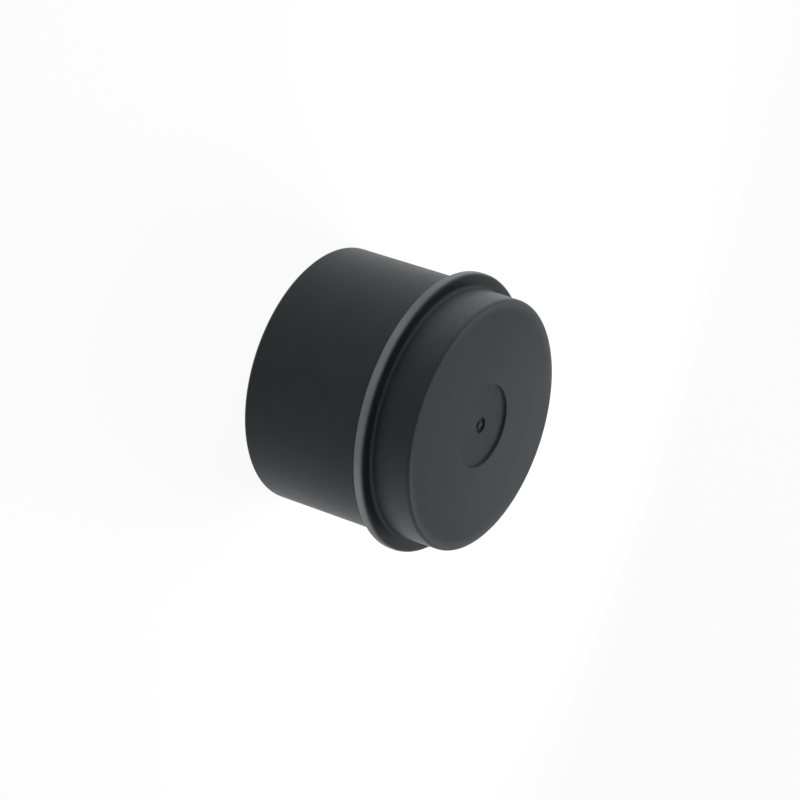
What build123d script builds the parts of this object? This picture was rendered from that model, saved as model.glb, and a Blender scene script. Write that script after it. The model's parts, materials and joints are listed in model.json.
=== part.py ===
# Waste pipe end cap: a one-piece moulded plug that closes an open waste pipe socket.
# Millimetres, +Z up the axis from the open rim to the closed face, origin at the rim's centre.

import os
from math import radians, tan

from build123d import *

# Spigot, the smooth tube that slides into the socket
spigot_diameter = 40.0
spigot_length = 21.5
wall_thickness = 2.0
lead_in = 0.45
mouth_break = 0.3

# Flange that stops the spigot at the mouth of the socket
flange_reach = 1.8
flange_thickness = 1.5
flange_front_round = 0.5
flange_rear_break = 0.25

# Boss in front of the flange, closed by the end wall
boss_inset = 0.4
boss_height = 6.6
end_thickness = 2.2
boss_root_break = 0.3
face_edge_round = 0.5
hollow_corner_break = 1.2

# Sunk disc in the middle of the closed face, with the gate mark at its centre
disc_diameter = 13.0
disc_depth = 0.35
gate_diameter = 2.4
gate_depth = 0.35
stub_diameter = 1.2
stub_height = 0.2

# Draft of the mould on each side, in degrees
boss_draft = 0.5
hollow_draft = 0.5

# Heights along the axis
flange_front = spigot_length + flange_thickness
boss_foot = flange_front + boss_root_break
face_height = flange_front + boss_height
hollow_top = face_height - end_thickness
disc_floor = face_height - disc_depth
gate_floor = disc_floor - gate_depth
stub_top = gate_floor + stub_height

# Radii
spigot_radius = spigot_diameter / 2
flange_radius = spigot_radius + flange_reach
boss_root_radius = spigot_radius - boss_inset
boss_edge_radius = boss_root_radius - (face_height - boss_foot) * tan(radians(boss_draft))
mouth_radius = spigot_radius - wall_thickness
hollow_shoulder = hollow_top - hollow_corner_break
hollow_radius = mouth_radius - (hollow_shoulder - mouth_break) * tan(radians(hollow_draft))


def closed_face():
    """Radius, height and round of each corner from the face's centre out to the foot of the boss."""
    return [
        (0, stub_top, 0),
        (stub_diameter / 2, stub_top, 0),
        (stub_diameter / 2, gate_floor, 0),
        (gate_diameter / 2, gate_floor, 0),
        (gate_diameter / 2, disc_floor, 0),
        (disc_diameter / 2, disc_floor, 0),
        (disc_diameter / 2, face_height, 0),
        (boss_edge_radius, face_height, face_edge_round),
        (boss_root_radius, boss_foot, 0),
        (boss_root_radius + boss_root_break, flange_front, 0),
    ]


def flange():
    """The flange from its rounded front edge to its rear face."""
    return [
        (flange_radius, flange_front, flange_front_round),
        (flange_radius, spigot_length + flange_rear_break, 0),
        (flange_radius - flange_rear_break, spigot_length, 0),
    ]


def spigot():
    """The straight outside of the spigot, the open rim, and the hollow up to the end wall."""
    return [
        (spigot_radius, spigot_length, 0),
        (spigot_radius, lead_in, 0),
        (spigot_radius - lead_in, 0, 0),
        (mouth_radius + mouth_break, 0, 0),
        (mouth_radius, mouth_break, 0),
        (hollow_radius, hollow_shoulder, 0),
        (hollow_radius - hollow_corner_break, hollow_top, 0),
        (0, hollow_top, 0),
    ]


def make_end_cap():
    """The half section, turned once round the axis."""
    corners = closed_face() + flange() + spigot()
    points = [(radius, 0, height) for radius, height, _ in corners]
    rounds = [corner_round for _, _, corner_round in corners]
    outline = FilletPolyline(*points, radius=rounds, close=True)
    return revolve(make_face(outline), Axis.Z)


end_cap = make_end_cap()
os.makedirs("parts", exist_ok=True)
export_step(end_cap, "parts/end_cap.step")
print(f"end cap {face_height:.1f} mm long, {2 * flange_radius:.1f} mm across, {end_cap.volume:.0f} mm3")
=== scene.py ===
# Waste pipe end cap: one black moulding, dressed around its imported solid.
import json
import math
import random

import bmesh
import bpy
from mathutils import Matrix, Vector


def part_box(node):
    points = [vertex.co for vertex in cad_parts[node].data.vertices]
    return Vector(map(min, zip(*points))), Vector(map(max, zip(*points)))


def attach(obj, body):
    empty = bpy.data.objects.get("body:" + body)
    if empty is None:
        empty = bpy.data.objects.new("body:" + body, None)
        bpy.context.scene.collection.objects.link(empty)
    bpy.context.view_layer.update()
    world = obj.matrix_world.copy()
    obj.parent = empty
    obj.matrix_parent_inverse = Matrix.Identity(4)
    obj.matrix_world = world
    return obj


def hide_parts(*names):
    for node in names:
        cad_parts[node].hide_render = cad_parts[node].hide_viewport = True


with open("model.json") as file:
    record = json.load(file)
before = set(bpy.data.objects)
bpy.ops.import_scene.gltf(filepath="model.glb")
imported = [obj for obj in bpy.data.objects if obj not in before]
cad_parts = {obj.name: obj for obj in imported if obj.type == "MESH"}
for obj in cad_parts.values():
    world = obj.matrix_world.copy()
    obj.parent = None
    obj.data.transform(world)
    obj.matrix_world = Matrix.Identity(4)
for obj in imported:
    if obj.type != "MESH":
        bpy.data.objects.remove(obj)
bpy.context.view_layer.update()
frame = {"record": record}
mm = 0.001
white = (1, 1, 1, 1)
lowCorner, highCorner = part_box("end_cap")
mounts = {mount["name"]: mount for mount in frame["record"]["mounts"]}
print("frame loaded, cap is", [round(side / mm, 2) for side in highCorner - lowCorner], "mm")


# sizes of the moulding in millimetres; what the solid and its mounts give is read from them
capSizes = {
    "flangeRadius": highCorner.x / mm,
    "faceHeight": highCorner.z / mm,
    "spigotRadius": mounts["spigot"]["dims"]["r_mm"],
    "spigotLength": mounts["flange_stop"]["pos_m"][2] / mm,
    "flangeThickness": 1.5,
    "bossInset": 0.4,
    "draft": 0.5,               # degrees, boss outside and hollow inside
    "wall": 2.0,
    "endWall": 2.2,
    "leadIn": 0.45,             # slope on the outside of the open rim
    "mouthBreak": 0.3,          # slope on the inside of the open rim
    "discRadius": 6.5,
    "discDepth": 0.35,
    "gateRadius": 1.2,
    "gateDepth": 0.35,
    "stubRadius": 0.6,
    "stubHeight": 0.2,
    "stubTear": 0.12,           # how far the torn top of the stub goes up and down
    "tearWaves": (1, 2, 3, 5),  # how often each wave of the tear goes round
    "tearWeights": (0.4, 1),    # least and most that one of the waves counts
    "tearSeed": 4,
    "faceEdgeRound": 0.5,
    "bossRootRound": 0.5,
    "flangeFrontRound": 0.55,
    "flangeRearRound": 0.22,
    "flangeRootRound": 0.3,
    "rimRound": 0.18,
    "hollowCornerRound": 1.2,
    "discEdgeRound": 0.12,
    "gateEdgeRound": 0.1,
    "turns": 256,               # steps of the spin
    "roundSteps": 6,            # segments across each rounded corner
    "mergeGap": 0.0005,
    "levelFrom": 0.9999,        # a face whose normal stands this upright is level
    "shadeWeight": 100,         # how much the larger faces rule the shading
}


# corners of the half section as (radius, height, round), from the gate stub out and back to the axis inside
def capCorners(size):
    slope = math.tan(math.radians(size["draft"]))
    face = size["faceHeight"]
    flangeFront = size["spigotLength"] + size["flangeThickness"]
    bossRoot = size["spigotRadius"] - size["bossInset"]
    bossEdge = bossRoot - (face - flangeFront) * slope
    discFloor = face - size["discDepth"]
    gateFloor = discFloor - size["gateDepth"]
    stubTop = gateFloor + size["stubHeight"]
    mouth = size["spigotRadius"] - size["wall"]
    hollowTop = face - size["endWall"]
    hollowRadius = mouth - hollowTop * slope
    return [
        (0, stubTop, 0),
        (size["stubRadius"] / 2, stubTop, 0),
        (size["stubRadius"], stubTop, 0),
        (size["stubRadius"], gateFloor, 0),
        (size["gateRadius"], gateFloor, size["gateEdgeRound"]),
        (size["gateRadius"], discFloor, size["gateEdgeRound"]),
        (size["discRadius"], discFloor, size["discEdgeRound"]),
        (size["discRadius"], face, size["discEdgeRound"]),
        (bossEdge, face, size["faceEdgeRound"]),
        (bossRoot, flangeFront, size["bossRootRound"]),
        (size["flangeRadius"], flangeFront, size["flangeFrontRound"]),
        (size["flangeRadius"], size["spigotLength"], size["flangeRearRound"]),
        (size["spigotRadius"], size["spigotLength"], size["flangeRootRound"]),
        (size["spigotRadius"], size["leadIn"], size["rimRound"]),
        (size["spigotRadius"] - size["leadIn"], 0, size["rimRound"]),
        (mouth + size["mouthBreak"], 0, size["rimRound"]),
        (mouth, size["mouthBreak"], size["rimRound"]),
        (hollowRadius, hollowTop, size["hollowCornerRound"]),
        (0, hollowTop, 0),
    ]


# the gate was twisted off here, so the top of its stub is uneven
def tearStub(bm, size):
    dice = random.Random(size["tearSeed"])
    waves = [(count, dice.uniform(0, 2 * math.pi), dice.uniform(*size["tearWeights"]))
             for count in size["tearWaves"]]
    stubMiddle = (size["faceHeight"] - size["discDepth"] - size["gateDepth"] + size["stubHeight"] / 2) * mm
    stubRadius = size["stubRadius"] * mm
    gateRadius = size["gateRadius"] * mm
    for vert in bm.verts:
        reach = math.hypot(vert.co.x, vert.co.y)
        if vert.co.z > stubMiddle and reach < (stubRadius + gateRadius) / 2:
            angle = math.atan2(vert.co.y, vert.co.x)
            lifts = [weight * math.sin(count * angle + phase) for count, phase, weight in waves]
            vert.co.z += size["stubTear"] * mm * sum(lifts) / len(lifts) * reach / stubRadius


def buildCap(size):
    bm = bmesh.new()
    corners = capCorners(size)
    verts = [bm.verts.new((radius * mm, 0, height * mm)) for radius, height, _ in corners]
    for one, two in zip(verts, verts[1:]):
        bm.edges.new((one, two))
    for vert, (_, _, rounding) in zip(verts, corners):
        if rounding:
            bmesh.ops.bevel(bm, geom=[vert], offset=rounding * mm, offset_type="OFFSET", affect="VERTICES",
                            segments=size["roundSteps"], profile=0.5, clamp_overlap=False, material=-1)
    bmesh.ops.spin(bm, geom=bm.verts[:] + bm.edges[:], cent=(0, 0, 0), axis=(0, 0, 1), dvec=(0, 0, 0),
                   angle=2 * math.pi, steps=size["turns"], use_merge=True)
    bmesh.ops.remove_doubles(bm, verts=bm.verts[:], dist=size["mergeGap"] * mm)
    tearStub(bm, size)
    bmesh.ops.recalc_face_normals(bm, faces=bm.faces[:])
    for face in bm.faces:
        face.smooth = abs(face.normal.z) < size["levelFrom"]    # level rings stay flat, all else is round
    mesh = bpy.data.meshes.new("end_cap_moulding")
    bm.to_mesh(mesh)
    bm.free()
    return mesh


capMesh = buildCap(capSizes)
cap = bpy.data.objects.new("end_cap_moulding", capMesh)
bpy.context.scene.collection.objects.link(cap)
shading = cap.modifiers.new("flat_faces_stay_flat", "WEIGHTED_NORMAL")
shading.weight = capSizes["shadeWeight"]
shading.keep_sharp = True
print("cap spun:", len(capMesh.vertices), "vertices,", len(capMesh.polygons), "faces")


# nodes for the materials and the room; a socket takes a link from another socket, or a plain value
def feed(tree, socket, value):
    if isinstance(value, bpy.types.NodeSocket):
        tree.links.new(value, socket)
    else:
        socket.default_value = value


# a sum with numbers, as ShaderNodeMath, or with vectors, as ShaderNodeVectorMath
def workOut(tree, kind, operation, *values):
    node = tree.nodes.new(kind)
    node.operation = operation
    for socket, value in zip(node.inputs, values):
        feed(tree, socket, value)
    return next(socket for socket in node.outputs if socket.enabled)


# takes a value from one span to another and holds it at both ends
def remap(tree, value, spanIn, spanOut=(0, 1), curve="LINEAR"):
    node = tree.nodes.new("ShaderNodeMapRange")
    node.interpolation_type = curve
    names = ("Value", "From Min", "From Max", "To Min", "To Max")
    for name, setting in zip(names, (value, *spanIn, *spanOut)):
        feed(tree, node.inputs[name], setting)
    return node.outputs["Result"]


# how far each distance has come through its span in millimetres, all multiplied together
def throughSpans(tree, spans):
    share = 1
    for distance, (start, full) in spans:
        share = remap(tree, distance, (start * mm, full * mm), (0, share))
    return share


def blendColours(tree, share, base, over):
    node = tree.nodes.new("ShaderNodeMix")
    node.data_type = "RGBA"
    for name, value in (("Factor", share), ("A", base), ("B", over)):
        feed(tree, node.inputs[name], value)
    return node.outputs["Result"]


def blendShaders(tree, share, base, over):
    node = tree.nodes.new("ShaderNodeMixShader")
    for socket, value in zip(node.inputs, (share, base, over)):
        feed(tree, socket, value)
    return node.outputs["Shader"]


def noise(tree, place, scale, detail):
    node = tree.nodes.new("ShaderNodeTexNoise")
    for name, value in (("Vector", place), ("Scale", scale), ("Detail", detail)):
        feed(tree, node.inputs[name], value)
    return node.outputs["Fac"]


def splitAxes(tree, vector):
    node = tree.nodes.new("ShaderNodeSeparateXYZ")
    feed(tree, node.inputs["Vector"], vector)
    return node.outputs


# black polypropylene, satin as it left the mould; a paler band on the rim of the flange is rubbed wear with
# painted highlight, and the sunk disc and the boss's sides carry painted shade and painted light
bossFoot = capSizes["spigotLength"] + capSizes["flangeThickness"]
bossRadius = capSizes["spigotRadius"] - capSizes["bossInset"]
plastic = {
    "black": (0.0102, 0.0130, 0.0139, 1),
    "bloom": (0.0128, 0.0164, 0.0175, 1),           # paler flow marks in the black
    "mottleScale": 320,
    "mottleDetail": 4,
    "noiseSpan": (0.3, 0.7),                        # where nearly all of a noise lies
    "discShade": (0.0076, 0.0097, 0.0104, 1),           # painted shade: darker towards the sunk disc's far side, as under its far wall
    "discShadeAlong": (-capSizes["discRadius"], capSizes["discRadius"]),    # along Y
    "discShadeEdge": (capSizes["discRadius"], capSizes["discRadius"] - capSizes["discEdgeRound"]),
    "discShadeHeights": (capSizes["faceHeight"] - 1.5, capSizes["faceHeight"] - 1.0),   # not in the hollow
    "paintedSideLight": (0.0270, 0.0328, 0.0348, 1),         # painted light: paler grey on the two sides of the boss that face the side lamps
    "sideLightHeights": (bossFoot, bossFoot + 3.5),
    "sideLightSpread": (5.0, 15.0),                    # distance from the middle, along X
    "sideLightReach": (bossRadius - 1.8, bossRadius - 0.4),   # on the wall and over its edge, not on the face
    # rubbed wear and painted highlight on the flange's rim
    "rubbedAndHighlit": (0.166, 0.183, 0.194, 1),
    "rimBandReach": (capSizes["flangeRadius"] - 0.3, capSizes["flangeRadius"]),
    "rimBandWander": 0.03,                           # how far the edge of the pale rim band wanders
    "wanderScale": 90,
    "wanderDetail": 2,
    "rimBandFadesToward": (-0.276, 0.961, 0),                 # direction in which the pale rim band, wear and painted highlight, gets less
    "rimBandFadeSpan": (-capSizes["flangeRadius"], -11.0),     # palest here, least pale from there on
    "rimBandLeast": 0.33,
    "roughness": (0.38, 0.52),
    "ior": 1.49,
    "specular": 0.23,
    "specularTint": (0.93, 1.0, 1.03, 1),
    "grainScale": 5200,
    "grainDetail": 2,
    "grainDepth": 0.012,
    "grainStrength": 0.6,
}


def blackPlastic(look):
    material = bpy.data.materials.new("black_polypropylene")
    material.use_nodes = True
    tree = material.node_tree
    shader = tree.nodes["Principled BSDF"]
    shader.inputs["IOR"].default_value = look["ior"]
    shader.inputs["Specular IOR Level"].default_value = look["specular"]
    shader.inputs["Specular Tint"].default_value = look["specularTint"]
    place = tree.nodes.new("ShaderNodeTexCoord").outputs["Object"]
    axes = splitAxes(tree, place)
    flat = workOut(tree, "ShaderNodeVectorMath", "MULTIPLY", place, (1, 1, 0))
    reach = workOut(tree, "ShaderNodeVectorMath", "LENGTH", flat)   # distance from the cap's axis

    # soft mottling from the flow of the melt
    mottle = noise(tree, place, look["mottleScale"], look["mottleDetail"])
    moulded = blendColours(tree, remap(tree, mottle, look["noiseSpan"]), look["black"], look["bloom"])
    feed(tree, shader.inputs["Roughness"], remap(tree, mottle, (0, 1), look["roughness"]))

    # painted shade in the sunk disc, darker towards its far side along Y
    discShade = throughSpans(tree, [
        (axes["Y"], look["discShadeAlong"]),
        (reach, look["discShadeEdge"]),
        (axes["Z"], look["discShadeHeights"]),
    ])
    shadedDisc = blendColours(tree, discShade, moulded, look["discShade"])

    # painted light on the boss's two sides along X, paler away from the flange
    sideLight = throughSpans(tree, [
        (axes["Z"], look["sideLightHeights"]),
        (workOut(tree, "ShaderNodeMath", "ABSOLUTE", axes["X"]), look["sideLightSpread"]),
        (reach, look["sideLightReach"]),
    ])
    sideLit = blendColours(tree, sideLight, shadedDisc, look["paintedSideLight"])

    # the flange's rim is paler in a band with an uneven edge, partly rubbed wear and partly painted
    # highlight, palest towards -Y, on the side that faces the camera
    wander = noise(tree, place, look["wanderScale"], look["wanderDetail"])
    mostDrift = look["rimBandWander"] * mm
    drift = remap(tree, wander, look["noiseSpan"], (-mostDrift, mostDrift))
    uneven = workOut(tree, "ShaderNodeMath", "ADD", reach, drift)
    rim = throughSpans(tree, [(uneven, look["rimBandReach"])])
    across = workOut(tree, "ShaderNodeVectorMath", "DOT_PRODUCT", place, look["rimBandFadesToward"])
    rimBandFadeSpan = [end * mm for end in look["rimBandFadeSpan"]]
    rimBandFade = remap(tree, across, rimBandFadeSpan, (1, look["rimBandLeast"]), "SMOOTHSTEP")
    rubAndHighlight = workOut(tree, "ShaderNodeMath", "MULTIPLY", rim, rimBandFade)
    feed(tree, shader.inputs["Base Color"], blendColours(tree, rubAndHighlight, sideLit, look["rubbedAndHighlit"]))

    # fine grain of the mould's surface
    bump = tree.nodes.new("ShaderNodeBump")
    bump.inputs["Distance"].default_value = look["grainDepth"] * mm
    bump.inputs["Strength"].default_value = look["grainStrength"]
    feed(tree, bump.inputs["Height"], noise(tree, place, look["grainScale"], look["grainDetail"]))
    feed(tree, shader.inputs["Normal"], bump.outputs["Normal"])
    return material


capMesh.materials.append(blackPlastic(plastic))
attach(cap, "root")
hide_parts("end_cap")
print("plastic on")


# pale floor under the open rim, white to the camera and in reflections, with the shadow kept
floorLook = {
    "size": 8.0,
    "colour": (0.85, 0.85, 0.85, 1),
    "whiteShare": 0.93,
}


# rays that see the floor and the room as white; the diffuse ones, which light the cap, don't
def whiteRays(tree):
    ray = tree.nodes.new("ShaderNodeLightPath").outputs
    both = workOut(tree, "ShaderNodeMath", "MAXIMUM", ray["Is Camera Ray"], ray["Is Glossy Ray"])
    return workOut(tree, "ShaderNodeMath", "MAXIMUM", both, ray["Is Transmission Ray"])


def paleFloor(look):
    bm = bmesh.new()
    bmesh.ops.create_grid(bm, x_segments=1, y_segments=1, size=look["size"] / 2)
    mesh = bpy.data.meshes.new("floor")
    bm.to_mesh(mesh)
    bm.free()
    material = bpy.data.materials.new("pale_floor")
    material.use_nodes = True
    tree = material.node_tree
    tree.nodes.remove(tree.nodes["Principled BSDF"])
    paint = tree.nodes.new("ShaderNodeBsdfDiffuse")
    paint.inputs["Color"].default_value = look["colour"]
    glow = tree.nodes.new("ShaderNodeEmission")
    share = workOut(tree, "ShaderNodeMath", "MULTIPLY", whiteRays(tree), look["whiteShare"])
    surface = blendShaders(tree, share, paint.outputs["BSDF"], glow.outputs["Emission"])
    feed(tree, tree.nodes["Material Output"].inputs["Surface"], surface)
    mesh.materials.append(material)
    floor = bpy.data.objects.new("floor", mesh)
    bpy.context.scene.collection.objects.link(floor)


paleFloor(floorLook)
print("floor laid")


# a large softbox on each side, a small one close behind, and a pale room
studio = {
    "room": 0.16,
    "farSide": 0.50,        # how bright the room's far side shows in the plastic
    "boxes": {
        "side_left": {"place": (-0.6, 0.1, 0.11), "width": 0.9, "height": 0.2,
                      "power": 9.1, "colour": (1, 1, 1)},
        "side_right": {"place": (0.6, 0.1, 0.11), "width": 0.9, "height": 0.2,
                       "power": 3.6, "colour": (1, 1, 1)},
        "back": {"place": (0, 0.08, 0.072), "width": 0.06, "height": 0.06,
                 "power": 0.275, "colour": (1, 0.9, 0.97)},
    },
}


def softbox(name, box, target):
    lamp = bpy.data.lights.new(name, "AREA")
    lamp.shape = "RECTANGLE"
    lamp.size = box["width"]
    lamp.size_y = box["height"]
    lamp.energy = box["power"]
    lamp.color = box["colour"]
    holder = bpy.data.objects.new(name, lamp)
    holder.visible_camera = False
    holder.visible_glossy = False   # the white room shows in the plastic, not the lamps
    holder.location = box["place"]
    holder.rotation_euler = (target - Vector(box["place"])).to_track_quat("-Z", "Y").to_euler()
    bpy.context.scene.collection.objects.link(holder)


def paleRoom(look):
    world = bpy.data.worlds.new("pale_room")
    world.use_nodes = True
    tree = world.node_tree
    lit = tree.nodes["Background"]
    lit.inputs["Color"].default_value = white
    lit.inputs["Strength"].default_value = look["room"]

    # white all round to the camera, dimmer towards its far side in reflections
    glossy = tree.nodes.new("ShaderNodeLightPath").outputs["Is Glossy Ray"]
    farSide = workOut(tree, "ShaderNodeMath", "MULTIPLY_ADD", glossy, look["farSide"] - 1, 1)
    direction = splitAxes(tree, tree.nodes.new("ShaderNodeTexCoord").outputs["Generated"])
    seen = tree.nodes.new("ShaderNodeBackground")
    seen.inputs["Color"].default_value = white
    feed(tree, seen.inputs["Strength"], remap(tree, direction["Y"], (0, 1), (1, farSide)))
    surface = blendShaders(tree, whiteRays(tree), lit.outputs["Background"], seen.outputs["Background"])
    feed(tree, tree.nodes["World Output"].inputs["Surface"], surface)
    bpy.context.scene.world = world


capMiddle = (lowCorner + highCorner) / 2
for boxName, box in studio["boxes"].items():
    softbox(boxName, box, capMiddle)
paleRoom(studio)
print("studio lit")


# the camera looks down on the cap from the side, turned so that the axis lies across the picture
cameraPlace = {
    "aim": Vector((0, 0, capSizes["spigotLength"] * mm)),   # middle of the flange's rear face
    "aimPixel": (437.74, 411.16),
    "imageSize": 800,
    "distance": 0.4713,
    "elevation": 29.51,
    "roll": 108.35,
    "lens": 141.2,
    "clipStart": 0.01,
}


def photoCamera(place):
    data = bpy.data.cameras.new("camera")
    data.lens = place["lens"]
    data.clip_start = place["clipStart"]
    elevation = math.radians(place["elevation"])
    back = Vector((0, -math.cos(elevation), math.sin(elevation)))
    focal = place["lens"] / data.sensor_width * place["imageSize"]
    yaw, pitch = (math.atan((pixel - place["imageSize"] / 2) / focal) for pixel in place["aimPixel"])
    turn = back.to_track_quat("Z", "Y").to_matrix().to_4x4()
    turn @= Matrix.Rotation(math.radians(place["roll"]), 4, "Z")
    turn @= Matrix.Rotation(yaw, 4, "Y") @ Matrix.Rotation(pitch, 4, "X")
    camera = bpy.data.objects.new("camera", data)
    camera.matrix_world = Matrix.Translation(place["aim"] + back * place["distance"]) @ turn
    bpy.context.scene.collection.objects.link(camera)
    bpy.context.scene.camera = camera


photoCamera(cameraPlace)
bpy.context.scene.view_settings.view_transform = "Standard"
print("camera set")
